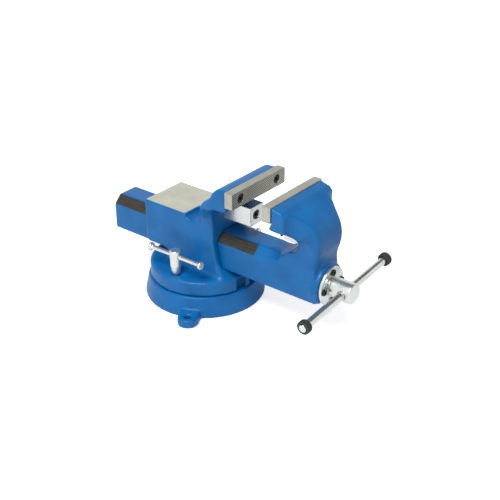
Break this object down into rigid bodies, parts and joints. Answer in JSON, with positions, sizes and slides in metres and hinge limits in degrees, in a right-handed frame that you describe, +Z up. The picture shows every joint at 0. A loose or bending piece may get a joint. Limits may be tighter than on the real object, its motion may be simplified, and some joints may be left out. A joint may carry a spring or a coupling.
{
  "type": "bench vise",
  "caption": "Swivel-base bench vise with anvil, pipe jaws, a screw-driven sliding jaw, a sliding bar handle and locking screws with sliding bars.",
  "frame": {"origin": "where the swivel axis meets the bench, at the middle of the base's underside", "axes": "+Z up along the swivel axis, +X along the spindle towards the handle"},
  "size_m": [0.4424, 0.2288, 0.2173],
  "materials": {
    "painted_iron": "satin blue paint over cast iron",
    "jaw_steel": "ground",
    "bright_steel": "bright plated",
    "bare_iron": "as cast",
    "black_steel": "black oxide",
    "cap_rubber": "moulded"
  },
  "bodies": {
    "base": {"swivel_base": "painted_iron"},
    "swivel_body": {"fixed_jaw": "painted_iron", "clamp_ring": "bare_iron", "fixed_jaw_plate": "jaw_steel", "fixed_plate_screw_1": "black_steel", "fixed_plate_screw_2": "black_steel", "fixed_pipe_jaw": "bright_steel", "fixed_pipe_jaw_screw": "black_steel", "spindle_nut": "bare_iron", "nut_bolt_1": "black_steel", "nut_bolt_2": "black_steel"},
    "moving_jaw": {"moving_jaw": "painted_iron", "moving_jaw_plate": "jaw_steel", "moving_plate_screw_1": "black_steel", "moving_plate_screw_2": "black_steel", "moving_pipe_jaw": "bright_steel", "moving_pipe_jaw_screw": "black_steel", "spindle_flange": "bright_steel", "flange_screw_1": "black_steel", "flange_screw_2": "black_steel", "flange_screw_3": "black_steel", "flange_screw_4": "black_steel"},
    "spindle": {"spindle": "bright_steel", "spindle_collar": "black_steel", "collar_pin": "black_steel", "thrust_washer": "bright_steel"},
    "handle": {"handle_bar": "bright_steel", "handle_cap_near": "cap_rubber", "handle_cap_far": "cap_rubber"},
    "lock_screw_near": {"lock_screw_near": "bright_steel"},
    "lock_bar_near": {"lock_bar_near": "bright_steel"},
    "lock_screw_far": {"lock_screw_far": "bright_steel"},
    "lock_bar_far": {"lock_bar_far": "bright_steel"}
  },
  "joints": [
    {"name": "swivel", "type": "hinge", "parent": "base", "child": "swivel_body", "pos_m": [0, 0, 0.033], "axis": [0, 0, 1], "continuous": true},
    {"name": "jaw_slide", "type": "slide", "parent": "swivel_body", "child": "moving_jaw", "axis": [1, 0, 0], "range_m": [-0.052, 0.072]},
    {"name": "spindle_turn", "type": "hinge", "parent": "moving_jaw", "child": "spindle", "pos_m": [0.24, 0, 0.0902], "axis": [1, 0, 0], "range_deg": [-3121, 4321]},
    {"name": "handle_slide", "type": "slide", "parent": "spindle", "child": "handle", "axis": [0, 0.9976, 0.0698], "range_m": [-0.08, 0.08]},
    {"name": "lock_turn_near", "type": "hinge", "parent": "swivel_body", "child": "lock_screw_near", "pos_m": [0.002, -0.07, 0.07], "axis": [0, 0, 1], "range_deg": [-12, 12]},
    {"name": "lock_bar_slide_near", "type": "slide", "parent": "lock_screw_near", "child": "lock_bar_near", "axis": [1, 0, 0], "range_m": [-0.035, 0.035]},
    {"name": "lock_turn_far", "type": "hinge", "parent": "swivel_body", "child": "lock_screw_far", "pos_m": [0.002, 0.07, 0.07], "axis": [0, 0, 1], "range_deg": [-12, 12]},
    {"name": "lock_bar_slide_far", "type": "slide", "parent": "lock_screw_far", "child": "lock_bar_far", "axis": [1, 0, 0], "range_m": [-0.035, 0.035]}
  ],
  "couplings": [
    {"joint": "spindle_turn", "follows": "jaw_slide", "rad_per_m": 1047.2}
  ]
}
